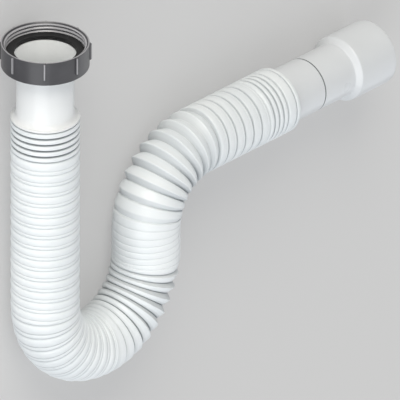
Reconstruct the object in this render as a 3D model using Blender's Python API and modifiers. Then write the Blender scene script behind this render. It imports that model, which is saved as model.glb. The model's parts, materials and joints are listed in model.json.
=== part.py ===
"""Extendable flexible waste pipe: union nut, washer, neck, corrugated hose and stepped spigot.

The pipe is modelled in its own frame: x runs along the outlet, y along the inlet towards the nut,
and z across the plane that the hose is bent in. The middle of the nut's rim is at 0, 0, 0.
An empty then lays the whole pipe on its side, on the three places that it comes to rest on.
"""
import math

import bmesh
import bpy
from mathutils import Matrix, Vector

# Fits
SEAT_GAP = 0.0003
NUT_RUNNING_GAP = 0.0005

# Union nut
NUT_RADIUS = 0.0255
NUT_HEIGHT = 0.014
NUT_LIP_THICKNESS = 0.0026
NUT_EDGE = 0.0005
THREAD_CREST_RADIUS = 0.0229
THREAD_DEPTH = 0.0011
THREAD_PITCH = 0.0023
THREAD_TURNS = 3
RIB_COUNT = 8
RIB_HALF_WIDTH = 0.0008
RIB_HEIGHT = 0.001
RIB_LENGTH = 0.0112
RIB_TIP_SHARE = 0.45
RIB_TURN = math.radians(3.0)

# Sealing washer
WASHER_RADIUS = 0.0225
WASHER_HOLE_RADIUS = 0.018
WASHER_THICKNESS = 0.0028

# Inlet neck
NECK_RADIUS = 0.0168
NECK_WALL = 0.002
NECK_LENGTH = 0.0303
FLANGE_RADIUS = 0.0223
FLANGE_THICKNESS = 0.0026
FUNNEL_DEPTH = 0.004
FLARE_LENGTH = 0.0033
SKIRT_LENGTH = 0.0016

# Tails of the neck and the spigot, inside the hose's ends
TAIL_LENGTH = 0.009
TAIL_WALL = 0.0009

# Corrugated hose
HOSE_RADIUS = 0.02
HOSE_WALL = 0.0009
HOSE_CREST_WALL = 0.0013
CLOSED_GROOVE_DEPTH = 0.0029
RISER_GROOVE_DEPTH = 0.0014
FANNED_GROOVE_DEPTH = 0.0036
OPEN_GROOVE_DEPTH = 0.0009
OPEN_BAND_DEPTH = 0.0005
CLOSED_PITCH = 0.00387
FANNED_PITCH = 0.0068
OPEN_PITCH = 0.0069
FIRST_OPEN_PITCH = 0.00855
CLOSED_CREST_SHARE = 0.5
FANNED_CREST_SHARE = 0.38
OPEN_CREST_SHARE = 0.635
COLLAR_LENGTH = 0.007
COLLAR_GROOVE_LENGTH = 0.0006
COLLAR_GROOVE_DEPTH = 0.0009
RIM_LENGTH = 0.0027

# Route of the hose's centreline: straight, U bend, straight, upper bend, straight
INLET_LENGTH = 0.12255
U_BEND_RADIUS = 0.0434
RISER_LENGTH = 0.0143
UPPER_BEND_RADIUS = 0.0406
UPPER_BEND_TURN = math.radians(91.4)
OUTLET_LENGTH = 0.0709

# How far the folds are closed at both ends, and fanned or closed through the bends
INLET_CLOSED_LENGTH = 0.01935
U_OPEN_TURN = math.radians(87.0)
U_FANNED_TURN = math.radians(87.0)
UPPER_CLOSED_TURN = math.radians(13.8)
OUTLET_CLOSED_LENGTH = 0.0158

# Outlet spigot
SPIGOT_RADIUS = 0.01653
SPIGOT_WALL = 0.0018
SPIGOT_LENGTH = 0.0516
CUT_LINE_PLACE = 0.0259
CUT_LINE_WIDTH = 0.0008
CUT_LINE_DEPTH = 0.0005
STEP_LENGTH = 0.0032
STEP_FILLET = 0.0013
CUFF_RADIUS = 0.02
CUFF_WALL = 0.0018
CUFF_LENGTH = 0.0292
CUFF_EDGE = 0.0005

# Sides of the round shapes
TURNED_SIDES = 32
HOSE_SIDES = 16
RIB_SIDES = 10
SMOOTH_ANGLE = math.radians(28.0)

# Sizes that follow from the ones above, in the pipe's own frame
nut_bore_radius = NECK_RADIUS + NUT_RUNNING_GAP
flange_bottom = -NUT_HEIGHT + NUT_LIP_THICKNESS + SEAT_GAP
flange_top = flange_bottom + FLANGE_THICKNESS
washer_bottom = flange_top + SEAT_GAP
washer_top = washer_bottom + WASHER_THICKNESS
skirt_bottom = -NUT_HEIGHT - NECK_LENGTH - FLARE_LENGTH - SKIRT_LENGTH
hose_top = skirt_bottom - SEAT_GAP
groove_radius = HOSE_RADIUS - CLOSED_GROOVE_DEPTH
riser_groove_radius = HOSE_RADIUS - RISER_GROOVE_DEPTH
fanned_groove_radius = HOSE_RADIUS - FANNED_GROOVE_DEPTH
open_groove_radius = HOSE_RADIUS - OPEN_GROOVE_DEPTH
hose_bore_radius = groove_radius - HOSE_WALL
tail_radius = hose_bore_radius * math.cos(math.pi / HOSE_SIDES) - SEAT_GAP
tail_bore_radius = tail_radius - TAIL_WALL
neck_bore_radius = NECK_RADIUS - NECK_WALL
spigot_bore_radius = SPIGOT_RADIUS - SPIGOT_WALL
cuff_bore_radius = CUFF_RADIUS - CUFF_WALL

u_bend_length = math.pi * U_BEND_RADIUS
upper_bend_length = UPPER_BEND_TURN * UPPER_BEND_RADIUS
hose_length = INLET_LENGTH + u_bend_length + RISER_LENGTH + upper_bend_length + OUTLET_LENGTH


def hose_place(run):
    """Return the centreline's point and its direction, both in the xy plane, after a run."""
    point = Vector((0.0, hose_top, 0.0))
    heading = -0.5 * math.pi
    pieces = (
        (INLET_LENGTH, 0.0),
        (u_bend_length, 1.0 / U_BEND_RADIUS),
        (RISER_LENGTH, 0.0),
        (upper_bend_length, -1.0 / UPPER_BEND_RADIUS),
        (OUTLET_LENGTH, 0.0),
    )
    for length, curvature in pieces:
        part = min(run, length)
        along = Vector((math.cos(heading), math.sin(heading), 0.0))
        aside = Vector((-along.y, along.x, 0.0))
        if curvature:
            turn = curvature * part
            point += along * math.sin(turn) / curvature
            point += aside * (1.0 - math.cos(turn)) / curvature
            heading += turn
        else:
            point += along * part
        run -= part
        if run <= 0.0:
            break
    return point, Vector((math.cos(heading), math.sin(heading), 0.0))


def corrugations(start, length, pitch, shape):
    """Repeat a shape of one corrugation, given as shares of its pitch, over a stretch."""
    count = max(1, round(length / pitch))
    step = length / count
    return [(start + (i + share) * step, r) for i in range(count) for share, r in shape]


def hose_profile():
    """Return the hose's outside and bore as lists of run and radius, from inlet to outlet."""
    crest_edge = 0.5 * (1.0 - CLOSED_CREST_SHARE)
    closed = (
        (0.0, groove_radius),
        (crest_edge, HOSE_RADIUS),
        (1.0 - crest_edge, HOSE_RADIUS),
    )
    eased = ((0.0, riser_groove_radius), *closed[1:])
    fanned = ((0.0, fanned_groove_radius), (FANNED_CREST_SHARE, HOSE_RADIUS))
    opened = (
        (0.0, open_groove_radius),
        (0.5 * OPEN_CREST_SHARE, HOSE_RADIUS),
        (OPEN_CREST_SHARE, open_groove_radius),
        (0.5 + 0.5 * OPEN_CREST_SHARE, HOSE_RADIUS - OPEN_BAND_DEPTH),
    )
    # Closed folds lie wall on wall, so the bore is smooth there and follows the folds elsewhere
    smooth_bore = ((0.0, hose_bore_radius),)
    fanned_bore = (
        (0.0, fanned_groove_radius - HOSE_WALL),
        (FANNED_CREST_SHARE, HOSE_RADIUS - HOSE_CREST_WALL),
    )
    open_bore = (
        (0.0, open_groove_radius - HOSE_WALL),
        (0.5 * OPEN_CREST_SHARE, HOSE_RADIUS - HOSE_WALL),
    )

    # Each stretch of folds runs on from the one before, round the bends too
    u_open_end = INLET_LENGTH + U_OPEN_TURN * U_BEND_RADIUS
    u_fanned_end = u_open_end + U_FANNED_TURN * U_BEND_RADIUS
    upper_start = INLET_LENGTH + u_bend_length + RISER_LENGTH
    upper_closed_end = upper_start + UPPER_CLOSED_TURN * UPPER_BEND_RADIUS
    upper_end = upper_start + upper_bend_length
    collar_end = hose_length - RIM_LENGTH - COLLAR_GROOVE_LENGTH
    collar_start = collar_end - COLLAR_LENGTH
    stretches = (
        (INLET_CLOSED_LENGTH, CLOSED_PITCH, closed, smooth_bore),
        (INLET_CLOSED_LENGTH + FIRST_OPEN_PITCH, FIRST_OPEN_PITCH, opened, open_bore),
        (u_open_end, OPEN_PITCH, opened, open_bore),
        (u_fanned_end, FANNED_PITCH, fanned, fanned_bore),
        (upper_closed_end, CLOSED_PITCH, eased, smooth_bore),
        (upper_end, FANNED_PITCH, fanned, fanned_bore),
        (collar_start - OUTLET_CLOSED_LENGTH, OPEN_PITCH, opened, open_bore),
        (collar_start, CLOSED_PITCH, closed, smooth_bore),
    )
    outside, bore = [], []
    run = 0.0
    for stretch_end, pitch, outer_shape, bore_shape in stretches:
        outside += corrugations(run, stretch_end - run, pitch, outer_shape)
        bore += corrugations(run, stretch_end - run, pitch, bore_shape)
        run = stretch_end
    # The hose's first edge is the shallow line under the neck's skirt
    outside[0] = (0.0, HOSE_RADIUS - COLLAR_GROOVE_DEPTH)

    # Outlet end: a plain collar, a shallow groove and the rim
    outside += [(collar_start, groove_radius), (collar_start + COLLAR_GROOVE_DEPTH, HOSE_RADIUS)]
    outside += [(collar_end, HOSE_RADIUS), (collar_end, HOSE_RADIUS - COLLAR_GROOVE_DEPTH)]
    rim_start = collar_end + COLLAR_GROOVE_LENGTH
    outside += [(rim_start, HOSE_RADIUS - COLLAR_GROOVE_DEPTH), (rim_start, HOSE_RADIUS)]
    outside += [(hose_length, HOSE_RADIUS)]
    bore += [(hose_length, hose_bore_radius)]
    return outside, bore


def make_material(name, colour, roughness):
    """Make a Principled material for a moulded plastic or rubber piece."""
    material = bpy.data.materials.new(name)
    material.use_nodes = True
    shader = material.node_tree.nodes["Principled BSDF"]
    shader.inputs["Base Color"].default_value = (*colour, 1.0)
    shader.inputs["Roughness"].default_value = roughness
    shader.inputs["Metallic"].default_value = 0.0
    return material


def make_turned(name, profile, sides, collection):
    """Turn a closed profile of radius and height round z with a Screw modifier.

    The profile runs down the outside, top to bottom, and back up the inside."""
    mesh = bpy.data.meshes.new(name)
    points = [(radius, 0.0, height) for radius, height in profile]
    edges = [(i, (i + 1) % len(points)) for i in range(len(points))]
    mesh.from_pydata(points, edges, [])
    piece = bpy.data.objects.new(name, mesh)
    collection.objects.link(piece)
    screw = piece.modifiers.new("turn", "SCREW")
    screw.axis = "Z"
    screw.angle = 2.0 * math.pi
    screw.steps = sides
    screw.render_steps = sides
    screw.use_merge_vertices = True
    screw.merge_threshold = 0.00001
    screw.use_smooth_shade = True
    return piece


def apply_modifiers(piece):
    """Replace a piece's mesh by the one that its modifiers make."""
    graph = bpy.context.evaluated_depsgraph_get()
    mesh = bpy.data.meshes.new_from_object(piece.evaluated_get(graph))
    piece.modifiers.clear()
    piece.data = mesh


def smooth_round(piece):
    """Shade round walls smooth and keep the edges between them sharp."""
    piece.data.shade_smooth()
    piece.data.set_sharp_from_angle(angle=SMOOTH_ANGLE)


def make_nut_ribs(collection):
    """Make the nut's grip ribs as round bars with a tapered lower end, all in one object."""
    centre_radius = NUT_RADIUS + RIB_HEIGHT - RIB_HALF_WIDTH
    bars = bmesh.new()
    taper = RIB_HALF_WIDTH
    for i in range(RIB_COUNT):
        angle = 2.0 * math.pi * i / RIB_COUNT - RIB_TURN
        turn = Matrix.Rotation(angle, 4, "Z")
        length = RIB_LENGTH - NUT_EDGE - taper
        middle = -NUT_EDGE - 0.5 * length
        bar = bmesh.ops.create_cone(
            bars,
            cap_ends=True,
            segments=RIB_SIDES,
            radius1=RIB_HALF_WIDTH,
            radius2=RIB_HALF_WIDTH,
            depth=length,
            matrix=turn @ Matrix.Translation((centre_radius, 0.0, middle)),
        )
        lowest = min(vertex.co.z for vertex in bar["verts"])
        foot = [v for v in bar["verts"] if v.co.z < lowest + 0.5 * taper]
        faces = {face for vertex in foot for face in vertex.link_faces}
        cap = [face for face in faces if all(vertex in foot for vertex in face.verts)]
        tip = bmesh.ops.extrude_discrete_faces(bars, faces=cap)["faces"][0]
        for vertex in tip.verts:
            offset = vertex.co - turn @ Vector((centre_radius, 0.0, lowest))
            vertex.co -= (1.0 - RIB_TIP_SHARE) * offset
            vertex.co.z = lowest - taper
        bmesh.ops.remove_doubles(bars, verts=bars.verts, dist=0.00001)
    mesh = bpy.data.meshes.new("nut_ribs")
    bars.to_mesh(mesh)
    bars.free()
    ribs = bpy.data.objects.new("nut_ribs", mesh)
    ribs.hide_render = True
    ribs.display_type = "WIRE"
    collection.objects.link(ribs)
    return ribs


def make_nut(parts, cutters, frame):
    """Union nut: a cup with a lip under the neck's flange, thread inside and ribs outside."""
    lip_top = -NUT_HEIGHT + NUT_LIP_THICKNESS
    profile = [
        (NUT_RADIUS - NUT_EDGE, 0.0),
        (NUT_RADIUS, -NUT_EDGE),
        (NUT_RADIUS, -NUT_HEIGHT + NUT_EDGE),
        (NUT_RADIUS - NUT_EDGE, -NUT_HEIGHT),
        (nut_bore_radius, -NUT_HEIGHT),
        (nut_bore_radius, lip_top),
        (THREAD_CREST_RADIUS, lip_top),
    ]
    # Thread from its lowest turn up to the rim; its roots lie midway between its crests
    thread_top = -2.0 * NUT_EDGE
    for turn in range(THREAD_TURNS, 0, -1):
        low = thread_top - turn * THREAD_PITCH
        profile.append((THREAD_CREST_RADIUS, low))
        profile.append((THREAD_CREST_RADIUS + THREAD_DEPTH, low + 0.5 * THREAD_PITCH))
    profile.append((THREAD_CREST_RADIUS, thread_top))
    profile.append((THREAD_CREST_RADIUS + NUT_EDGE, 0.0))
    nut = make_turned("coupling_nut", profile, TURNED_SIDES, parts)
    apply_modifiers(nut)
    ribs = make_nut_ribs(cutters)
    union = nut.modifiers.new("ribs", "BOOLEAN")
    union.operation = "UNION"
    union.object = ribs
    for piece in (nut, ribs):
        piece.parent = frame
        piece.rotation_euler = (-0.5 * math.pi, 0.0, 0.0)
    nut.data.materials.append(make_material("grey_nut_plastic", (0.07, 0.07, 0.075), 0.45))
    smooth_round(nut)
    return nut


def make_washer(parts, frame):
    """Flat rubber ring that lies on the neck's flange inside the nut."""
    profile = [
        (WASHER_RADIUS, washer_top),
        (WASHER_RADIUS, washer_bottom),
        (WASHER_HOLE_RADIUS, washer_bottom),
        (WASHER_HOLE_RADIUS, washer_top),
    ]
    washer = make_turned("sealing_washer", profile, TURNED_SIDES, parts)
    apply_modifiers(washer)
    washer.parent = frame
    washer.rotation_euler = (-0.5 * math.pi, 0.0, 0.0)
    washer.data.materials.append(make_material("black_washer_rubber", (0.012, 0.012, 0.013), 0.7))
    smooth_round(washer)
    return washer


def tail_profile(shoulder):
    """Return the outline of a tail that reaches from a shoulder down into the hose's end."""
    return [
        (tail_radius, shoulder),
        (tail_radius, shoulder - TAIL_LENGTH),
        (tail_bore_radius, shoulder - TAIL_LENGTH),
        (tail_bore_radius, shoulder - 2.0 * TAIL_WALL),
    ]


def make_neck(parts, frame):
    """Inlet neck: flange, plain tube, flared skirt, and a tail inside the hose's end."""
    flare_top = -NUT_HEIGHT - NECK_LENGTH
    flare_bottom = skirt_bottom + SKIRT_LENGTH
    flare_middle = 0.5 * (flare_top + flare_bottom)
    flare_radius = 0.5 * (NECK_RADIUS + HOSE_RADIUS)
    profile = [
        (FLANGE_RADIUS, flange_top),
        (FLANGE_RADIUS, flange_bottom),
        (NECK_RADIUS, flange_bottom),
        (NECK_RADIUS, flare_top),
        (flare_radius, flare_middle),
        (HOSE_RADIUS, flare_bottom),
        (HOSE_RADIUS, skirt_bottom),
        *tail_profile(skirt_bottom),
        (neck_bore_radius, skirt_bottom - TAIL_WALL),
        (neck_bore_radius, flange_top - FUNNEL_DEPTH),
        (WASHER_HOLE_RADIUS, flange_top),
    ]
    neck = make_turned("inlet_neck", profile, TURNED_SIDES, parts)
    apply_modifiers(neck)
    neck.parent = frame
    neck.rotation_euler = (-0.5 * math.pi, 0.0, 0.0)
    neck.data.materials.append(make_material("white_neck_plastic", (0.82, 0.84, 0.85), 0.3))
    smooth_round(neck)
    return neck


def make_hose(parts, frame):
    """Corrugated hose: a straight turned tube whose rings are then set along the S route."""
    outside, bore = hose_profile()
    profile = [(radius, -run) for run, radius in outside]
    profile += [(radius, -run) for run, radius in reversed(bore)]
    hose = make_turned("bellows_hose", profile, HOSE_SIDES, parts)
    apply_modifiers(hose)
    for vertex in hose.data.vertices:
        across, aside, height = vertex.co
        centre, along = hose_place(-height)
        side = Vector((-along.y, along.x, 0.0))
        vertex.co = centre + across * Vector((0.0, 0.0, 1.0)) + aside * side
    hose.parent = frame
    hose.data.materials.append(make_material("white_hose_plastic", (0.84, 0.86, 0.87), 0.35))
    smooth_round(hose)
    return hose


def make_spigot(parts, frame):
    """Outlet spigot: a tail inside the hose's end, a narrow tube with a cut line, and a cuff."""
    step_start = SPIGOT_LENGTH
    cuff_start = step_start + STEP_LENGTH
    end = cuff_start + CUFF_LENGTH
    shoulder = SEAT_GAP
    line_low = CUT_LINE_PLACE - 0.5 * CUT_LINE_WIDTH
    line_high = CUT_LINE_PLACE + 0.5 * CUT_LINE_WIDTH
    profile = [
        (CUFF_RADIUS - CUFF_EDGE, end),
        (CUFF_RADIUS, end - CUFF_EDGE),
        (CUFF_RADIUS, cuff_start),
        (CUFF_RADIUS - CUFF_EDGE, cuff_start - STEP_FILLET),
        (SPIGOT_RADIUS + CUFF_EDGE, step_start),
        (SPIGOT_RADIUS, step_start - STEP_FILLET),
        (SPIGOT_RADIUS, line_high),
        (SPIGOT_RADIUS - CUT_LINE_DEPTH, CUT_LINE_PLACE),
        (SPIGOT_RADIUS, line_low),
        (SPIGOT_RADIUS, shoulder),
        *tail_profile(shoulder),
        (spigot_bore_radius, shoulder - TAIL_WALL),
        (spigot_bore_radius, step_start + 0.5 * CUFF_WALL),
        (cuff_bore_radius, cuff_start + CUFF_WALL),
        (cuff_bore_radius, end),
    ]
    spigot = make_turned("outlet_spigot", profile, TURNED_SIDES, parts)
    apply_modifiers(spigot)
    spigot.parent = frame
    spigot.location, along = hose_place(hose_length)
    spigot.rotation_euler = (0.0, 0.5 * math.pi, math.atan2(along.y, along.x))
    spigot.data.materials.append(make_material("white_spigot_plastic", (0.82, 0.84, 0.85), 0.3))
    smooth_round(spigot)
    return spigot


def lay_on_side(frame):
    """Tilt the frame so that nut, U bend and cuff all touch the ground."""
    rib_radius = NUT_RADIUS + RIB_HEIGHT
    rib_angle = -0.5 * math.pi + RIB_TURN
    nut_foot = Vector((
        rib_radius * math.cos(rib_angle),
        -RIB_LENGTH + RIB_HALF_WIDTH,
        rib_radius * math.sin(rib_angle),
    ))
    bend_foot = Vector((U_BEND_RADIUS, hose_top - INLET_LENGTH - U_BEND_RADIUS, -HOSE_RADIUS))
    cuff_end = SPIGOT_LENGTH + STEP_LENGTH + CUFF_LENGTH - CUFF_EDGE
    end, along = hose_place(hose_length)
    cuff_foot = end + along * cuff_end + Vector((0.0, 0.0, -CUFF_RADIUS))
    up = (bend_foot - nut_foot).cross(cuff_foot - nut_foot).normalized()
    frame.rotation_mode = "QUATERNION"
    frame.rotation_quaternion = up.rotation_difference(Vector((0.0, 0.0, 1.0)))


def stand_on_origin(frame, pieces):
    """Move the frame so that the pipe's box stands on the origin by the middle of its base."""
    graph = bpy.context.evaluated_depsgraph_get()
    graph.update()
    corners = []
    for piece in pieces:
        shown = piece.evaluated_get(graph)
        corners += [shown.matrix_world @ vertex.co for vertex in shown.data.vertices]
    low = [min(corner[i] for corner in corners) for i in range(3)]
    high = [max(corner[i] for corner in corners) for i in range(3)]
    frame.location -= Vector((0.5 * (low[0] + high[0]), 0.5 * (low[1] + high[1]), low[2]))


def build():
    """Empty the scene and make the pipe."""
    for leftover in list(bpy.data.objects):
        bpy.data.objects.remove(leftover, do_unlink=True)
    parts = bpy.data.collections.new("flexible_waste_pipe")
    cutters = bpy.data.collections.new("cutters")
    bpy.context.scene.collection.children.link(parts)
    bpy.context.scene.collection.children.link(cutters)
    frame = bpy.data.objects.new("resting_frame", None)
    parts.objects.link(frame)

    nut = make_nut(parts, cutters, frame)
    washer = make_washer(parts, frame)
    neck = make_neck(parts, frame)
    hose = make_hose(parts, frame)
    spigot = make_spigot(parts, frame)
    lay_on_side(frame)
    stand_on_origin(frame, [nut, washer, neck, hose, spigot])


build()
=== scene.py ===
import json
import math

import bpy
import numpy as np
from mathutils import Matrix, Vector


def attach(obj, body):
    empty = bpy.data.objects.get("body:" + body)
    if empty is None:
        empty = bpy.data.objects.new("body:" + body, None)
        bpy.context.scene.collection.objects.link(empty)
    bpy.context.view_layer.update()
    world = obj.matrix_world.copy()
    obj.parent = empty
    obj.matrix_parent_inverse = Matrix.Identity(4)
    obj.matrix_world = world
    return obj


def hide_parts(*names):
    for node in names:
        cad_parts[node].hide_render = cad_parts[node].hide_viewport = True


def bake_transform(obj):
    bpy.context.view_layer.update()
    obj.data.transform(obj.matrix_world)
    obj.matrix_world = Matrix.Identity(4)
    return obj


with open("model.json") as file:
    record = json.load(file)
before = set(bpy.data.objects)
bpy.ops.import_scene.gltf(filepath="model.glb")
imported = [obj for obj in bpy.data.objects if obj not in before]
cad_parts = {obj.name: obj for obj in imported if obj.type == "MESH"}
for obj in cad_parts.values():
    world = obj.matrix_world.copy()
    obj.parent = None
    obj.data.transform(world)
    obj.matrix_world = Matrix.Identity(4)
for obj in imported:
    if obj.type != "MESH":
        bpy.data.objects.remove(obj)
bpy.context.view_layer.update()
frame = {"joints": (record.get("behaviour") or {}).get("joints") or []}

mm = 0.001  # every size below is in millimetres, unless a note says otherwise
quarterTurn = 0.5 * math.pi
fullTurn = 2.0 * math.pi


# The pipe's own frame, from the joints: y along the inlet, x along the outlet, z across the bends
jointByName = {joint["name"]: joint for joint in frame["joints"]}
rimCentre = Vector(jointByName["nut_turn"]["pos_m"])
yWay = Vector(jointByName["nut_turn"]["axis"]).normalized()
outletWay = Vector(jointByName["outlet_extension"]["axis"]).normalized()
zWay = outletWay.cross(yWay).normalized()
xWay = yWay.cross(zWay)
pipeToWorld = Matrix.Translation(rimCentre) @ Matrix((xWay, yWay, zWay)).transposed().to_4x4()
inletTurn = pipeToWorld @ Matrix.Rotation(-quarterTurn, 4, "X")  # a turned piece's z along the inlet
print("frame loaded, pipe axes found")


# An sRGB hex colour as the linear one that nodes and lamps take
def linear(hexColour):
    channels = [int(hexColour[i:i + 2], 16) / 255.0 for i in (1, 3, 5)]
    return [c / 12.92 if c <= 0.04045 else ((c + 0.055) / 1.055) ** 2.4 for c in channels] + [1.0]


def addNode(tree, kind, settings=(), links=()):
    node = tree.nodes.new(kind)
    for key, value in dict(settings).items():
        if isinstance(key, int) or key in node.inputs:
            node.inputs[key].default_value = value
        else:
            setattr(node, key, value)
    for key, source in dict(links).items():
        tree.links.new(source, node.inputs[key])
    return node


def newMaterial(name):
    material = bpy.data.materials.new(name)
    material.use_nodes = True
    material.node_tree.nodes.clear()
    return material, material.node_tree


# How fine both noises are, and the cloud values below which there is all shade and above which all colour
noise = {"cloudDetail": 3.0, "grainDetail": 2.0, "shadeBelow": 0.3, "colourAbove": 0.7}


# Plastics and rubber: colour and gloss change in wide clouds, a fine grain makes the bump, and a mesh's
# attribute of painted light, from 0 to 1, brings in the second colour and roughness: painted shade on the
# hose and the spigot, a painted highlight on the nut
def mouldedSurface(name, look):
    material, tree = newMaterial(name)
    place = addNode(tree, "ShaderNodeTexCoord").outputs["Object"]
    cloudSettings = {"Scale": 1.0 / (look["cloudSize"] * mm), "Detail": noise["cloudDetail"]}
    clouds = addNode(tree, "ShaderNodeTexNoise", cloudSettings, {"Vector": place}).outputs["Fac"]
    grainSettings = {"Scale": 1.0 / (look["grainSize"] * mm), "Detail": noise["grainDetail"]}
    grain = addNode(tree, "ShaderNodeTexNoise", grainSettings, {"Vector": place}).outputs["Fac"]
    paintedLight = addNode(tree, "ShaderNodeAttribute", {"attribute_name": "paintedShadeAndHighlight"}).outputs["Fac"]

    colour = addNode(tree, "ShaderNodeValToRGB", {}, {"Fac": clouds})
    shadeStop, colourStop = colour.color_ramp.elements
    shadeStop.position = noise["shadeBelow"]
    shadeStop.color = linear(look["shade"])
    colourStop.position = noise["colourAbove"]
    colourStop.color = linear(look["colour"])
    # The second colour is painted light: shade in the hose's folds and the spigot's cut line, a highlight on
    # the nut
    colourSettings = {"data_type": "RGBA", 7: linear(look["paintedLightColour"])}
    shown = addNode(tree, "ShaderNodeMix", colourSettings, {0: paintedLight, 6: colour.outputs["Color"]})

    glossRange = {"To Min": look["roughness"] - look["spread"], "To Max": look["roughness"] + look["spread"]}
    gloss = addNode(tree, "ShaderNodeMapRange", glossRange, {"Value": clouds})
    glossLinks = {0: paintedLight, 2: gloss.outputs["Result"]}
    roughness = addNode(tree, "ShaderNodeMix", {3: look["secondRoughness"]}, glossLinks)

    relief = {"Strength": look["bump"], "Distance": look["grainDepth"] * mm}
    bump = addNode(tree, "ShaderNodeBump", relief, {"Height": grain})
    shader = addNode(tree, "ShaderNodeBsdfPrincipled", {"IOR": look["ior"], "Metallic": 0.0}, {
        "Base Color": shown.outputs[2], "Roughness": roughness.outputs[0], "Normal": bump.outputs["Normal"],
    })
    addNode(tree, "ShaderNodeOutputMaterial", {}, {"Surface": shader.outputs["BSDF"]})
    return material


polypropyleneIor = 1.49
rubberIor = 1.52

# Blow-moulded white polypropylene: milky and waxy, a soft broad shine on every fold
hosePlastic = mouldedSurface("blowMouldedWhitePolypropylene", {
    "colour": "#F1F5F7", "shade": "#EAEFF2", "cloudSize": 30.0,
    "grainSize": 0.8, "grainDepth": 0.02, "bump": 0.25,  # the blown wall's ripple, coarser than real
    "roughness": 0.38, "spread": 0.05, "ior": polypropyleneIor,
    "paintedLightColour": "#868C90", "secondRoughness": 0.5,  # painted shade deep between the folds
})
# Injection-moulded white polypropylene: from polished steel moulds, so a brighter and tighter shine
polishedLook = {
    "cloudSize": 45.0, "grainSize": 1.2, "grainDepth": 0.01, "bump": 0.2,  # flow marks, coarser than real
    "roughness": 0.28, "spread": 0.04, "ior": polypropyleneIor,
    "paintedLightColour": "#96999C", "secondRoughness": 0.5,  # painted shade in the cut line
}
tubePlastic = mouldedSurface("injectionMouldedWhitePolypropylene", {
    **polishedLook, "colour": "#F2F4F5", "shade": "#ECEFF0",
})
# The same white plastic as the neck's, drawn a little greyer: painted shade
shadedSpigotPlastic = mouldedSurface("injectionMouldedWhitePolypropyleneShaded", {
    **polishedLook, "colour": "#DEE1E4", "shade": "#D7DADD",
})
# Injection-moulded dark grey polypropylene: satin from an eroded mould, grain drawn coarser than real
nutPlastic = mouldedSurface("mouldedDarkGreyPolypropylene", {
    "colour": "#444448", "shade": "#3B3B3F", "cloudSize": 12.0,
    "grainSize": 0.5, "grainDepth": 0.02, "bump": 0.3,
    "roughness": 0.33, "spread": 0.05, "ior": polypropyleneIor,
    "paintedLightColour": "#B8B8BC", "secondRoughness": 0.2,  # thread, rim and rib crests: smoother from polished steel, and lighter by a painted highlight
})
# Moulded black EPDM rubber: dull, with a fine dusty grain, drawn coarser than real
washerRubber = mouldedSurface("mouldedBlackEpdmRubber", {
    "colour": "#19191B", "shade": "#131314", "cloudSize": 6.0,
    "grainSize": 0.4, "grainDepth": 0.04, "bump": 0.5,
    "roughness": 0.65, "spread": 0.06, "ior": rubberIor,
    "paintedLightColour": "#19191B", "secondRoughness": 0.6,
})
print("materials made")


# The short curve that takes a corner's place, from a point before it to a point after it
def cornerCurve(before, corner, after, steps):
    shares = [step / steps for step in range(steps + 1)]
    return [before.lerp(corner, share).lerp(corner.lerp(after, share), share) for share in shares]


# Round all corners of a closed outline, each over a share of the way to its neighbours
def rounded(outline, share, steps):
    points = [Vector(point) for point in outline]
    result = []
    for i, corner in enumerate(points):
        before = corner.lerp(points[i - 1], share)
        after = corner.lerp(points[(i + 1) % len(points)], share)
        result += cornerCurve(before, corner, after, steps)
    return result


mostOfAnEdge = 0.45  # the share of a short edge that one rounded corner may take


# Round corners by a set length, for edges that have a real radius
def eased(outline, reach, steps=4, closed=True):
    points = [Vector(point) for point in outline]
    result = []
    for i, corner in enumerate(points):
        if not closed and i in (0, len(points) - 1):
            result.append(corner)
            continue
        behind = points[i - 1] - corner
        ahead = points[(i + 1) % len(points)] - corner
        size = min(reach, mostOfAnEdge * behind.length, mostOfAnEdge * ahead.length)
        before = corner + behind.normalized() * size
        after = corner + ahead.normalized() * size
        result += cornerCurve(before, corner, after, steps)
    return result


# Build a closed body from rings of points: rings follow the section's outline, down the outside first
def ringBody(name, rings, material, sharpAngle, paintedLight=None):
    rows, sides = rings.shape[:2]
    row, side = np.meshgrid(np.arange(rows), np.arange(sides), indexing="ij")
    nextRow, nextSide = (row + 1) % rows, (side + 1) % sides
    corners = [row * sides + side, nextRow * sides + side, nextRow * sides + nextSide, row * sides + nextSide]
    faces = np.stack(corners, axis=-1)
    mesh = bpy.data.meshes.new(name)
    mesh.from_pydata(rings.reshape(-1, 3).tolist(), [], faces.reshape(-1, 4).tolist())
    mesh.validate()
    mesh.materials.append(material)
    # Painted light for each point: shade on the hose and the spigot, a highlight on the nut
    if paintedLight is not None:
        finish = mesh.attributes.new("paintedShadeAndHighlight", "FLOAT", "POINT")
        finish.data.foreach_set("value", paintedLight.reshape(-1))
    piece = bpy.data.objects.new(name, mesh)
    bpy.context.scene.collection.objects.link(piece)
    mesh.shade_smooth()
    mesh.set_sharp_from_angle(angle=math.radians(sharpAngle))
    return piece


def moved(points, place):
    matrix = np.array(place)
    return points @ matrix[:3, :3].T + matrix[:3, 3]


turnedSides = 128


# Turn an outline of radius and height round z, then put it in place
def turned(outline, place):
    angles = np.linspace(0.0, fullTurn, turnedSides, endpoint=False)
    sizes = np.array([tuple(point) for point in outline]) * mm
    radius, height = sizes[:, 0:1], sizes[:, 1:2]
    rings = [radius * np.cos(angles), radius * np.sin(angles), height * np.ones(turnedSides)]
    return moved(np.stack(rings, axis=-1), place)


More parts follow.
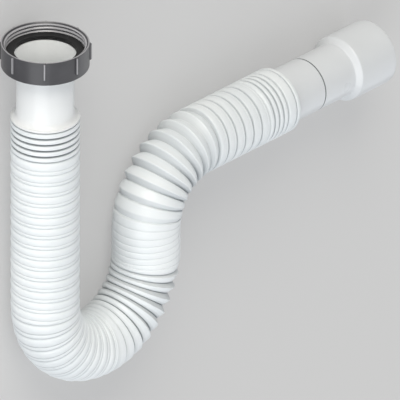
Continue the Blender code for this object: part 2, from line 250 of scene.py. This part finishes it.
# Union nut: eight ribs outside, a helical thread inside, a lip that catches the neck's flange
nut = {
    "radius": 25.5, "height": 14.8, "edge": 0.35, "lowEdge": 0.6, "lowEdgeLead": 0.3, "edgePoints": 5,
    "lip": 3.4, "boreRadius": 17.3, "boreEdge": 0.4, "rimRadius": 24.7, "rimSlope": 0.1, "rimDrop": 0.3,
    "threadCrest": 23.1, "threadRoot": 24.1, "threadPitch": 2.3, "threadTop": -0.7, "threadBottom": -8.2,
    "threadRows": 90, "threadSlope": 2.5, "threadFadeIn": 0.6, "threadFadeOut": 0.4,
    "ribs": 8, "ribHalfWidth": 0.75, "ribHeight": 1.2, "ribLength": 11.2, "ribTurn": -3.0,
    "ribRows": (-0.8, -3.0, -6.0), "ribFoot": 0.9, "ribFootLead": 0.5, "ribAtRim": 0.4, "betweenRibs": 18,
    "sharpAngle": 40.0,
}
# Across a rib: places in half widths, and the share of its height there, steep on one side only
ribPlaces = (-1.3, -1.0, -0.94, -0.8, -0.45, 0.0, 0.45, 0.8, 0.94, 1.0, 1.3)
ribHeights = (0.0, 0.0, 0.6, 0.92, 1.0, 1.0, 0.6, 0.28, 0.14, 0.0, 0.0)
# Polished faces of the nut, also drawn lighter by a painted highlight: how far in they start and over what
# depth, and how strongly
nutPolishAndHighlight = {
    "margin": 0.1, "threadDepth": 0.3, "rimDepth": 0.2, "rimShare": 0.75,
    "ribStart": 0.5, "ribDepth": 0.3, "ribShare": 0.7,  # start and depth as shares of the rib's height
}


def nutRings():
    radius, edge, lowEdge, foot = nut["radius"], nut["edge"], nut["lowEdge"], nut["ribFoot"]
    bore, rim = nut["boreRadius"], nut["rimRadius"]
    bottom, ribEnd = -nut["height"], -nut["ribLength"]
    lipTop = bottom + nut["lip"]
    # Angles gather at the ribs, where the wall changes fast
    atRib = np.array(ribPlaces) * nut["ribHalfWidth"] / radius
    between = np.linspace(atRib[-1], fullTurn / nut["ribs"] + atRib[0], nut["betweenRibs"] + 2)[1:-1]
    starts = math.radians(nut["ribTurn"]) + fullTurn * np.arange(nut["ribs"]) / nut["ribs"]
    angles = np.concatenate([np.concatenate([atRib, between]) + start for start in starts])
    ribRise = np.tile(np.concatenate([ribHeights, 0.0 * between]), nut["ribs"]) * nut["ribHeight"]

    def ring(reach, z, rise=0.0):
        out = reach + rise * ribRise
        return np.stack([out * np.cos(angles), out * np.sin(angles), np.full(len(angles), z)], axis=-1)

    # A rounded edge of radius 1, as the distances of its points from both sides of the corner
    quarter = np.linspace(0.0, quarterTurn, nut["edgePoints"])
    curve = [(1.0 - math.sin(turn), 1.0 - math.cos(turn)) for turn in quarter]
    # Down the outside: rounded rim, ribs with a rounded foot, rounded lower edge
    rings = [ring(radius - edge * back, -edge * drop, nut["ribAtRim"] * (1.0 - back)) for back, drop in curve]
    rings += [ring(radius, z, 1.0) for z in nut["ribRows"]]
    rings += [ring(radius, ribEnd + foot + nut["ribFootLead"], 1.0), ring(radius, ribEnd + foot, 1.0)]
    rings += [ring(radius, ribEnd + foot * back, 1.0 - drop) for back, drop in curve[1:]]
    rings += [ring(radius, bottom + lowEdge + nut["lowEdgeLead"])]
    rings += [ring(radius - lowEdge * drop, bottom + lowEdge * back) for back, drop in curve]
    # Up the inside: bore, lip, thread, rim
    rings += [ring(bore + nut["boreEdge"], bottom), ring(bore, bottom + nut["boreEdge"])]
    rings += [ring(bore, lipTop), ring(nut["threadRoot"], lipTop)]
    rings += threadRings(ring, (angles - angles[0]) / fullTurn)
    rings += [ring(rim - nut["rimSlope"], -nut["rimDrop"]), ring(rim + nut["rimSlope"], 0.0)]
    return np.array(rings)


# The thread: one ring follows another up the wall, each turned on by the helix, and both ends fade out
def threadRings(ring, turn):
    root, crest = nut["threadRoot"], nut["threadCrest"]
    rings = []
    for z in np.linspace(nut["threadBottom"], nut["threadTop"], nut["threadRows"]):
        phase = (z / nut["threadPitch"] + turn) % 1.0
        height = np.clip(nut["threadSlope"] * (0.5 - np.abs(phase - 0.5)), 0.0, 1.0)  # a V cut flat
        fadeIn = (z - nut["threadBottom"]) / nut["threadFadeIn"]
        fadeOut = (nut["threadTop"] - z) / nut["threadFadeOut"]
        rings.append(ring(root - (root - crest) * height * min(1.0, fadeIn, fadeOut), z))
    return rings


# The thread, the rim and the ribs' crests are shinier than the rest, and lighter by a painted highlight
def nutPolishAndPaintedHighlight(rings):
    margin, ribHeight = nutPolishAndHighlight["margin"], nut["ribHeight"]
    reach = np.hypot(rings[..., 0], rings[..., 1])
    z = rings[..., 2]
    inThread = np.clip((nut["threadRoot"] - margin - reach) / nutPolishAndHighlight["threadDepth"], 0.0, 1.0)
    inThread = inThread * (reach > nut["threadCrest"] - margin) * (z > nut["threadBottom"])
    onRib = reach - nut["radius"] - nutPolishAndHighlight["ribStart"] * ribHeight
    onRib = np.clip(onRib / (nutPolishAndHighlight["ribDepth"] * ribHeight), 0.0, 1.0)
    onRim = (reach > nut["threadRoot"]) & (reach < nut["radius"] + margin) & (z > -nutPolishAndHighlight["rimDepth"])
    return np.maximum.reduce([inThread, onRim * nutPolishAndHighlight["rimShare"], onRib * nutPolishAndHighlight["ribShare"]])


nutPoints = nutRings()
nutPiece = ringBody("threadedUnionNut", moved(nutPoints * mm, inletTurn), nutPlastic,
                    nut["sharpAngle"], nutPolishAndPaintedHighlight(nutPoints))
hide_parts("coupling_nut")
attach(nutPiece, "nut")
print("nut made")


# Rubber washer: flat ring with soft edges
washer = {
    "radius": 22.5, "holeRadius": 18.0, "thickness": 2.8, "bottom": -8.2, "edge": 0.35, "sharpAngle": 32.0,
}


def washerOutline():
    top = washer["bottom"] + washer["thickness"]
    outline = [
        (washer["radius"], top), (washer["radius"], washer["bottom"]),
        (washer["holeRadius"], washer["bottom"]), (washer["holeRadius"], top),
    ]
    return eased(outline, washer["edge"])


washerPiece = ringBody("flatRubberWasher", turned(washerOutline(), inletTurn), washerRubber,
                       washer["sharpAngle"])
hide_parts("sealing_washer")
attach(washerPiece, "inlet")
print("washer made")


# Tails of the neck and the spigot, which hold both inside the hose
tail = {"tailRadius": 15.6, "tailBore": 14.7, "tailLength": 9.0, "tailSlope": 1.0}


# Round the tail's end and up its bore, which slopes to the tube's bore near the shoulder
def tailOutline(piece, shoulder):
    end, slopeEnd = shoulder - piece["tailLength"], shoulder - piece["tailSlope"]
    return [(piece["tailRadius"], end), (piece["tailBore"], end), (piece["boreRadius"], slopeEnd)]


# Inlet neck: flange, plain tube, concave flare down to the skirt, tail inside the hose
neck = {
    **tail, "radius": 16.8, "boreRadius": 14.8, "edge": 0.4, "sharpAngle": 50.0,
    "flangeRadius": 22.3, "flangeTop": -8.5, "flangeThickness": 2.6, "flangeChamfer": 0.3,
    "flareTop": -44.3, "flareLength": 4.6, "flareDrop": 0.78, "flarePower": 0.9, "flarePoints": 15,
    "shoulderPlace": 0.9, "shoulderRise": 0.1,  # a low swelling, placed as a share of the flare's length
    "skirtRadius": 20.0, "skirtBottom": -49.2, "skirtChamferIn": 0.3, "skirtChamferUp": 0.4,
    "funnelRadius": 18.0, "funnelDepth": 12.0, "funnelPoints": 12,
}


def neckOutline():
    flange, flangeTop, skirt = neck["flangeRadius"], neck["flangeTop"], neck["skirtRadius"]
    flangeBottom = flangeTop - neck["flangeThickness"]
    skirtBottom, bore = neck["skirtBottom"], neck["boreRadius"]
    corners = [(flange, flangeTop), (flange, flangeBottom), (neck["radius"], flangeBottom)]
    outline = [(flange - neck["flangeChamfer"], flangeTop), (flange, flangeTop - neck["flangeChamfer"])]
    outline += eased(corners, neck["edge"], closed=False)[1:]
    # Concave flare, then a rounded shoulder onto the skirt
    for turn in quarterTurn * np.linspace(0.0, 1.0, neck["flarePoints"]):
        reach = neck["radius"] + (skirt - neck["radius"]) * (1.0 - math.cos(turn))
        drop = neck["flareLength"] * neck["flareDrop"] * math.sin(turn) ** neck["flarePower"]
        outline.append((reach, neck["flareTop"] - drop))
    shoulder = neck["flareTop"] - neck["shoulderPlace"] * neck["flareLength"]
    outline += [(skirt + neck["shoulderRise"], shoulder), (skirt, skirtBottom + neck["skirtChamferUp"])]
    outline += [(skirt - neck["skirtChamferIn"], skirtBottom), (neck["tailRadius"], skirtBottom)]
    outline += tailOutline(neck, skirtBottom)
    # The bore, then a soft funnel up to the flange
    for share in np.linspace(0.0, 1.0, neck["funnelPoints"]):
        reach = bore + (neck["funnelRadius"] - bore) * share ** 2
        outline.append((reach, flangeTop - neck["funnelDepth"] * (1.0 - share)))
    return outline


neckPiece = ringBody("flangedInletNeck", turned(neckOutline(), inletTurn), tubePlastic,
                     neck["sharpAngle"])
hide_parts("inlet_neck")
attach(neckPiece, "inlet")
print("neck made")


# Corrugated hose: folds set out along the route's centreline, closed, open or fanned
hose = {
    "top": -49.5, "radius": 20.1, "wall": 0.9, "sides": 96, "sharpAngle": 60.0,
    "inletLength": 122.55, "uRadius": 43.4, "riserLength": 14.3, "upperRadius": 40.6,
    "upperTurn": 91.4, "outletLength": 70.9,
    "slitDepth": 3.0, "fannedDepth": 4.0, "cornerReach": 0.4, "cornerSteps": 2,
    "boreRadius": 16.2, "fannedBore": 15.4, "openDip": 0.75, "boreStep": 3.0,
    "fannedBoreLead": 2.0, "openBoreLag": 4.0,  # how far from a stretch's end the bore changes
    # The hose's edge under the skirt and the recess round the spigot get painted shade
    "startDepth": 1.8, "startShade": 0.9, "rimDepth": 0.4, "rimLength": 0.5, "rimGrooveDepth": 1.6,
    "mouthDepth": 3.0, "mouthRadius": 18.6, "mouthChamfer": 0.3,  # a recess round the spigot
    "mouthSlope": 0.1, "mouthShade": 0.3,
    "firstShades": (1.0, 0.8), "upperShades": (0.5, 1.0),  # strength of the painted shade outside a bend, and inside it
}
uLength = math.pi * hose["uRadius"]
upperLength = math.radians(hose["upperTurn"]) * hose["upperRadius"]
hoseLength = hose["inletLength"] + uLength + hose["riserLength"] + upperLength + hose["outletLength"]

# Where each stretch of folds ends, along the centreline from the neck, and how many folds it has
foldEnds = {
    "closedInlet": 19.35, "firstOpen": 27.9, "openInlet": 125.66, "openBend": 188.5, "fannedBend": 254.6,
    "riser": 283.1, "upperBend": 339.1, "openOutlet": 382.8, "closedOutlet": 398.6, "collar": 405.6,
}
foldCounts = {
    "closedInlet": 5, "firstOpen": 1, "openInlet": 14, "openBend": 9, "riser": 7, "openOutlet": 6,
    "closedOutlet": 4,
}
# How open the U bend's fanned folds are and how strong the upper bend's: both fan out and shut again
uOpenness = (0.0, 0.1, 0.25, 0.45, 0.7, 0.9, 1.0, 1.0, 0.8, 0.45)
upperStrengths = (0.3, 0.6, 0.85, 1.0, 1.0, 1.0, 0.85, 0.7)
hoseSeams = {"inlet": 120.9, "outlet": 341.0}  # where the hose's three meshes meet


# A fold that is the same all round: its depth outside a bend is its depth inside too
def evenFold(*rows):
    return [(share, depth, depth, shade) for share, depth, shade in rows]


# Each fold's outline: share of its length, depth below the crest, share of the painted shade
slit, vee = hose["slitDepth"], hose["fannedDepth"]
closedFold = evenFold(  # pushed together, a slit between two flat crests
    (0.0, slit, 1.0), (0.1, slit - 0.3, 0.9), (0.16, 0.35, 0.25), (0.27, 0.0, 0.0),
    (0.73, 0.0, 0.0), (0.84, 0.35, 0.25), (0.9, slit - 0.3, 0.9),
)
openFold = evenFold(  # pulled out, a round crest and a low band
    (0.0, 1.0, 0.3), (0.09, 0.38, 0.0), (0.2, 0.09, 0.0), (0.34, 0.0, 0.0), (0.48, 0.08, 0.0),
    (0.6, 0.3, 0.0), (0.665, 0.68, 0.3), (0.73, 0.32, 0.0), (0.83, 0.22, 0.0), (0.93, 0.42, 0.0),
)
outletFold = evenFold(  # pulled out less, a thin slit and a long crest with a line in it
    (0.0, 2.4, 1.0), (0.05, 2.2, 0.9), (0.11, 0.3, 0.3), (0.3, 0.0, 0.0), (0.62, 0.05, 0.0),
    (0.69, 0.3, 0.15), (0.76, 0.1, 0.0), (0.9, 0.15, 0.0), (0.96, 0.9, 0.4),
)
riserFold = evenFold((0.0, 0.4, 0.2), (0.12, 0.08, 0.0), (0.5, 0.0, 0.0), (0.88, 0.08, 0.0))  # shallow
bentShade = 1.8  # painted shade is stronger on the open folds where the hose starts to bend
bentFold = [(share, outer, inner, bentShade * shade) for share, outer, inner, shade in openFold]
# Fanned in the upper bend: depth outside the bend and inside it
upperFold = [
    (0.0, vee, 2.4, 1.0), (0.05, vee - 0.45, 2.0, 0.8), (0.13, 0.67 * vee, 0.3, 0.75),
    (0.33, 0.16 * vee, 0.0, 0.5), (0.39, 0.0, 0.0, 0.0), (0.46, 0.1 * vee, 0.0, 0.0),
    (0.75, 0.57 * vee, 0.05, 0.0), (0.95, 0.9 * vee, 0.8, 0.2),
]
# The collar's first edge and the groove before the rim: distance past the stretch's end, depth
collarEdge = ((0.1, 2.6), (0.7, 0.1), (1.5, 0.0))
rimGroove = ((-0.4, 0.0), (0.0, hose["rimGrooveDepth"]), (0.45, hose["rimGrooveDepth"]), (0.8, 0.0))


# The stretch of folds between two of the ends above, with a strength for each that scales depth and painted
# shade
def folds(before, stretch, fold, strengths=None):
    start, end = foldEnds.get(before, 0.0), foldEnds[stretch]
    strengths = strengths or [1.0] * foldCounts[stretch]
    step = (end - start) / len(strengths)
    points = []
    for i, strength in enumerate(strengths):
        for share, outer, inner, shade in fold:
            run = start + (i + share) * step
            points.append((run, outer * strength, inner * strength, shade * strength))
    return points


# Fanned folds of the U bend: from a fold's tip its side with painted shade falls to the valley, then its lit
# side rises
def fannedFolds():
    start, end = foldEnds["openBend"], foldEnds["fannedBend"]
    step = (end - start) / len(uOpenness)
    points = []
    for i, wide in enumerate(uOpenness):
        depth = (0.4 + 0.6 * wide) * vee
        valley = 0.07 + 0.38 * wide  # the valley's place in the fold: an open fold has a wider shaded side
        lit = 1.0 - valley
        # Share of the fold's length, share of its depth outside the bend, depth inside it, painted shade
        fold = [
            (0.0, 0.0, 0.0, 0.0), (0.03, 0.06, 0.0, 0.4 * wide), (0.9 * valley, 0.9, 1.2, 0.35 + 0.2 * wide),
            (valley, 1.0, 2.4, 1.0), (valley + 0.06 * lit, 0.3 + 0.58 * wide, 0.6, 0.3),
            (valley + 0.4 * lit, 0.08 + 0.5 * wide, 0.05, 0.0), (1.0 - 0.04 * lit, 0.05 * wide, 0.0, 0.0),
        ]
        for share, outer, inner, shade in fold:
            points.append((start + (i + share) * step, outer * depth, inner, shade))
    return points


# The centreline's point and heading after a run along it
def routePlace(run):
    point, heading = Vector((0.0, hose["top"])), -quarterTurn
    stretches = (
        (hose["inletLength"], 0.0), (uLength, 1.0 / hose["uRadius"]), (hose["riserLength"], 0.0),
        (upperLength, -1.0 / hose["upperRadius"]), (hose["outletLength"], 0.0),
    )
    for length, curvature in stretches:
        part = min(run, length)
        along = Vector((math.cos(heading), math.sin(heading)))
        aside = Vector((-along.y, along.x))
        if curvature:
            turn = curvature * part
            point = point + (along * math.sin(turn) + aside * (1.0 - math.cos(turn))) / curvature
            heading += turn
        else:
            point = point + along * part
        run -= part
        if run <= 0.0:
            break
    return point, heading


def hoseOutline():
    outside = [(0.45, 0.1, 0.1, 0.2)]  # the hose's edge under the neck's skirt
    outside += folds("neck", "closedInlet", closedFold)[3:]  # the first one starts on its crest
    outside += folds("closedInlet", "firstOpen", openFold)
    outside += folds("firstOpen", "openInlet", openFold)
    outside += folds("openInlet", "openBend", bentFold)
    outside += fannedFolds()
    outside += folds("fannedBend", "riser", riserFold)
    outside += folds("riser", "upperBend", upperFold, upperStrengths)
    outside += folds("upperBend", "openOutlet", outletFold)
    outside += folds("openOutlet", "closedOutlet", closedFold)[2:]  # the open one ends in its own notch
    # The collar: a plain band, one groove and the rim, with painted shade in the grooves
    for past, depth in collarEdge:
        outside.append((foldEnds["closedOutlet"] + past, depth, depth, depth / slit))
    for past, depth in rimGroove:
        outside.append((foldEnds["collar"] + past, depth, depth, depth / hose["rimGrooveDepth"]))
    outside.append((hoseLength - hose["rimLength"], 0.0, 0.0, 0.0))
    return eased(outside, hose["cornerReach"], hose["cornerSteps"], closed=False)


# The bore is smooth, and narrower where the folds outside are deeper
def boreRadiusAt(run):
    openBore = hose["radius"] - hose["openDip"] - hose["wall"]
    bores = (
        (foldEnds["openBend"] - hose["fannedBoreLead"], foldEnds["fannedBend"], hose["fannedBore"]),
        (foldEnds["riser"], foldEnds["upperBend"], hose["fannedBore"]),
        (foldEnds["closedInlet"] + hose["openBoreLag"], foldEnds["openBend"], openBore),
        (foldEnds["upperBend"], foldEnds["openOutlet"], openBore),
    )
    for start, end, radius in bores:
        if start < run < end:
            return radius
    return hose["boreRadius"]


# The section of one mesh of the hose: run, depth outside and inside the bend, painted shade
def hoseSection(start, end):
    crest = hose["radius"]
    atNeck, atSpigot = start == 0.0, end == hoseLength
    firstDepth = hose["startDepth"] if atNeck else 0.0
    lastDepth = hose["rimDepth"] if atSpigot else 0.0
    section = [(start, firstDepth, firstDepth, hose["startShade"] if atNeck else 0.0)]
    section += [tuple(point) for point in hoseOutline() if start < point[0] < end]
    section += [(end, lastDepth, lastDepth, 0.0)]
    boreEnd = end
    if atSpigot:
        boreEnd = end - hose["mouthDepth"]
        lip, chamfer, slope = hose["mouthRadius"], hose["mouthChamfer"], hose["mouthSlope"]
        mouth = [(end, lip + chamfer, 0.0), (end - chamfer, lip, hose["mouthShade"])]
        mouth += [(boreEnd, lip - slope, 1.0), (boreEnd, hose["boreRadius"], 1.0)]
        section += [(run, crest - radius, crest - radius, shade) for run, radius, shade in mouth]
    boreRows = max(3, int((end - start) / hose["boreStep"]))
    for run in np.linspace(boreEnd, start, boreRows):
        depth = crest - boreRadiusAt(run)
        section.append((run, depth, depth, 0.0))
    return section


def hosePart(name, start, end):
    angles = np.linspace(0.0, fullTurn, hose["sides"], endpoint=False)
    rings, shades = [], []
    for run, outer, inner, shade in hoseSection(start, end):
        centre, heading = routePlace(run)
        inFirst = run < foldEnds["riser"]
        bendSide = 1.0 if inFirst else -1.0  # the two bends turn opposite ways
        inside = 0.5 + 0.5 * bendSide * np.sin(angles)
        reach = hose["radius"] - (outer + (inner - outer) * inside)
        aside = (-math.sin(heading), math.cos(heading), 0.0)
        around = np.outer(np.cos(angles), (0.0, 0.0, 1.0)) + np.outer(np.sin(angles), aside)
        rings.append(np.array((centre.x, centre.y, 0.0)) + reach[:, None] * around)
        # Painted shade is stronger on one side of each bend: the outside of the U bend, the inside of the
        # upper one
        outsideShade, insideShade = hose["firstShades"] if inFirst else hose["upperShades"]
        shades.append(shade * (outsideShade + (insideShade - outsideShade) * inside))
    points = moved(np.array(rings) * mm, pipeToWorld)
    return ringBody(name, points, hosePlastic, hose["sharpAngle"], np.array(shades))


def worldAt(run):
    centre = routePlace(run)[0]
    return pipeToWorld @ Vector((centre.x * mm, centre.y * mm, 0.0))


inletFolds = hosePart("inletLimbFolds", 0.0, hoseSeams["inlet"])
bendFolds = hosePart("bendFolds", hoseSeams["inlet"], hoseSeams["outlet"])
outletFolds = hosePart("outletLimbFolds", hoseSeams["outlet"], hoseLength)
for part in (inletFolds, bendFolds, outletFolds):
    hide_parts("bellows_hose")
worldAt(hoseSeams["inlet"])
worldAt(neck["tailLength"])
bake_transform(inletFolds)
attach(bendFolds, "hose")
worldAt(hoseSeams["outlet"])
worldAt(hoseLength - neck["tailLength"])
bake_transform(outletFolds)
print("hose made, %.0f mm long" % hoseLength)


# Outlet spigot: narrow tube with a cut line, a coned step and a wider cuff
spigot = {
    **tail, "radius": 16.53, "boreRadius": 14.73, "length": 51.6, "sharpAngle": 50.0,
    "shoulder": -2.9, "shoulderLead": 0.5, "cornerShare": 0.3, "cornerSteps": 3,
    # The cut line's painted shade reaches this deep below the tube's surface
    "cutPlace": 25.9, "cutWidth": 0.7, "cutDepth": 0.9, "cutSlope": 0.05, "cutLead": 0.6, "cutShadeDepth": 1.3,
    "stepLength": 3.2, "cuffRadius": 20.0, "cuffBore": 18.2, "cuffLength": 29.9, "cuffEdge": 0.4,
    "cuffEdgeLength": 0.5,
    # Points round the corners of the step, from the corner: radius, height
    "cuffCorner": ((0.0, 0.8), (-0.1, 0.2), (-0.5, -0.3)),
    "tubeCorner": ((0.9, 1.1), (0.2, 0.5), (0.0, -0.6)),
    "boreCorner": ((0.0, 0.0), (0.5, 1.2)), "cuffBoreCorner": ((-0.5, 1.0), (0.0, 2.0)),
}


def spigotOutline():
    tube, bore, shoulder = spigot["radius"], spigot["boreRadius"], spigot["shoulder"]
    cuff, cuffBore, edge = spigot["cuffRadius"], spigot["cuffBore"], spigot["cuffEdge"]
    stepStart = spigot["length"]
    cuffStart = stepStart + spigot["stepLength"]
    end = cuffStart + spigot["cuffLength"]
    # The cuff's mouth, then over its rounded corner and the cone onto the tube
    outline = [(cuffBore + edge, end), (cuff - edge, end), (cuff, end - spigot["cuffEdgeLength"])]
    outline += [(cuff + out, cuffStart + up) for out, up in spigot["cuffCorner"]]
    outline += [(tube + out, stepStart + up) for out, up in spigot["tubeCorner"]]
    # The cut line, a groove with nearly upright sides
    high = spigot["cutPlace"] + 0.5 * spigot["cutWidth"]
    low = spigot["cutPlace"] - 0.5 * spigot["cutWidth"]
    floor, slope, lead = tube - spigot["cutDepth"], spigot["cutSlope"], spigot["cutLead"]
    outline += [(tube, high + lead), (tube, high), (floor, high - slope)]
    outline += [(floor, low + slope), (tube, low), (tube, low - lead)]
    # The tail, then the bore back up to the cuff's mouth
    outline += [(tube, shoulder + spigot["shoulderLead"]), (tube, shoulder), (spigot["tailRadius"], shoulder)]
    outline += tailOutline(spigot, 0.0)
    outline += [(bore + out, stepStart + up) for out, up in spigot["boreCorner"]]
    outline += [(cuffBore + out, cuffStart + up) for out, up in spigot["cuffBoreCorner"]]
    outline += [(cuffBore, end - edge)]
    return rounded(outline, spigot["cornerShare"], spigot["cornerSteps"])


# Painted shade in the cut line: 1 on the points of its floor and sides, and 0 elsewhere
def spigotCutShade(outline):
    deepest = spigot["radius"] - spigot["cutShadeDepth"]
    inLine = [
        abs(height - spigot["cutPlace"]) < spigot["cutWidth"] and deepest < radius < spigot["radius"]
        for radius, height in outline
    ]
    return np.repeat(np.array(inLine, dtype=float)[:, None], turnedSides, axis=1)


hoseEnd, outHeading = routePlace(hoseLength)
spigotTurn = pipeToWorld @ Matrix.Translation((hoseEnd.x * mm, hoseEnd.y * mm, 0.0))
spigotTurn = spigotTurn @ Matrix.Rotation(outHeading, 4, "Z") @ Matrix.Rotation(quarterTurn, 4, "Y")
spigotLine = spigotOutline()
spigotPiece = ringBody("steppedOutletSpigot", turned(spigotLine, spigotTurn), shadedSpigotPlastic,
                       spigot["sharpAngle"], spigotCutShade(spigotLine))
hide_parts("outlet_spigot")
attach(spigotPiece, "outlet")
print("spigot made")


# Studio: pale grey floor and backdrop, four soft suns and a weak light from all round
studio = {
    "grey": "#CCCCCC", "floorColour": "#DEDEDE", "floorBounce": "#CCCCCC", "plainShare": 0.5,
    "floorSize": 60.0, "floorDrop": 0.2,  # the size in metres
    "ambient": 0.28, "coolColour": "#FBFDFF", "warmColour": "#FFFBF3",
}
# Each sun's way, strength, angle across in degrees, and colour
suns = {
    "softKey": ((-0.35, 0.85, 0.38), 1.95, 36.0, studio["warmColour"]),  # from the nut's end
    "softFill": ((-0.9, -0.3, 0.35), 1.55, 60.0, studio["coolColour"]),  # from the inlet limb's side
    "lowSide": ((0.2, -0.75, 0.6), 0.8, 80.0, studio["coolColour"]),  # from the U bend's end
    "lowFar": ((0.9, -0.4, 0.05), 0.52, 60.0, studio["coolColour"]),  # from the cuff's side
}


# Rays that see the backdrop: straight from the camera, or by way of a gloss or through something clear
def seenRays(tree):
    rays = addNode(tree, "ShaderNodeLightPath").outputs
    straight = {0: rays["Is Camera Ray"], 1: rays["Is Glossy Ray"]}
    mirrored = addNode(tree, "ShaderNodeMath", {"operation": "MAXIMUM"}, straight)
    clear = {0: mirrored.outputs[0], 1: rays["Is Transmission Ray"]}
    return addNode(tree, "ShaderNodeMath", {"operation": "MAXIMUM"}, clear).outputs[0]


def addFloor():
    size = studio["floorSize"]
    mesh = bpy.data.meshes.new("paleFloor")
    corners = [(-size, -size, 0.0), (size, -size, 0.0), (size, size, 0.0), (-size, size, 0.0)]
    mesh.from_pydata(corners, [], [(0, 1, 2, 3)])
    material, tree = newMaterial("mattPaleFloor")
    seen = seenRays(tree)
    toneSettings = {"data_type": "RGBA", 6: linear(studio["floorBounce"]), 7: linear(studio["floorColour"])}
    tone = addNode(tree, "ShaderNodeMix", toneSettings, {0: seen})
    matt = addNode(tree, "ShaderNodeBsdfDiffuse", {}, {"Color": tone.outputs[2]})
    plain = addNode(tree, "ShaderNodeEmission", {"Color": linear(studio["grey"]), "Strength": 1.0})
    share = addNode(tree, "ShaderNodeMath", {"operation": "MULTIPLY", 1: studio["plainShare"]}, {0: seen})
    mixLinks = {0: share.outputs[0], 1: matt.outputs["BSDF"], 2: plain.outputs["Emission"]}
    both = addNode(tree, "ShaderNodeMixShader", {}, mixLinks)
    addNode(tree, "ShaderNodeOutputMaterial", {}, {"Surface": both.outputs[0]})
    mesh.materials.append(material)
    floor = bpy.data.objects.new("paleFloor", mesh)
    floor.location.z = -studio["floorDrop"] * mm
    bpy.context.scene.collection.objects.link(floor)


def addSun(name, way, strength, angle, colour):
    lamp = bpy.data.lights.new(name, "SUN")
    lamp.color = linear(colour)[:3]
    lamp.energy = strength
    lamp.angle = math.radians(angle)
    sun = bpy.data.objects.new(name, lamp)
    sun.rotation_euler = Vector(way).to_track_quat("Z", "Y").to_euler()
    bpy.context.scene.collection.objects.link(sun)


def addWorld():
    world = bpy.data.worlds.new("studio")
    world.use_nodes = True
    tree = world.node_tree
    tree.nodes.clear()
    seen = seenRays(tree)
    aroundSettings = {"Color": linear(studio["coolColour"]), "Strength": studio["ambient"]}
    around = addNode(tree, "ShaderNodeBackground", aroundSettings)
    behind = addNode(tree, "ShaderNodeBackground", {"Color": linear(studio["grey"]), "Strength": 1.0})
    mixLinks = {0: seen, 1: around.outputs[0], 2: behind.outputs[0]}
    both = addNode(tree, "ShaderNodeMixShader", {}, mixLinks)
    addNode(tree, "ShaderNodeOutputWorld", {}, {"Surface": both.outputs[0]})
    bpy.context.scene.world = world


addFloor()
for sunName, (way, strength, angle, colour) in suns.items():
    addSun(sunName, way, strength, angle, colour)
addWorld()
print("floor and lights made")


# Camera: nearly parallel view from the inlet's side, turned so that the inlet stands upright in the picture
view = {
    "aim": (133.7, -158.7, 0.0), "towards": (-0.6508, 0.4876, 0.5820), "right": (0.6686, 0.0049, 0.7436),
    "width": 233.0, "lens": 1500.0, "sensor": 36.0, "nearest": 100.0, "furthestShare": 3.0,
}


def addCamera():
    camera = bpy.data.cameras.new("photoCamera")
    camera.lens = view["lens"]
    camera.sensor_width = view["sensor"]
    distance = view["width"] * mm * view["lens"] / view["sensor"]
    camera.clip_start = view["nearest"] * mm
    camera.clip_end = view["furthestShare"] * distance
    back = Vector(view["towards"]).normalized()
    right = Vector(view["right"])
    right = (right - right.dot(back) * back).normalized()
    up = back.cross(right)
    turn = Matrix((right, up, back)).transposed().to_4x4()
    place = Matrix.Translation(Vector(view["aim"]) * mm + back * distance) @ turn
    seat = bpy.data.objects.new("photoCamera", camera)
    seat.matrix_world = pipeToWorld @ place
    bpy.context.scene.collection.objects.link(seat)
    bpy.context.scene.camera = seat


addCamera()
bpy.context.scene.view_settings.view_transform = "Standard"
print("camera set")
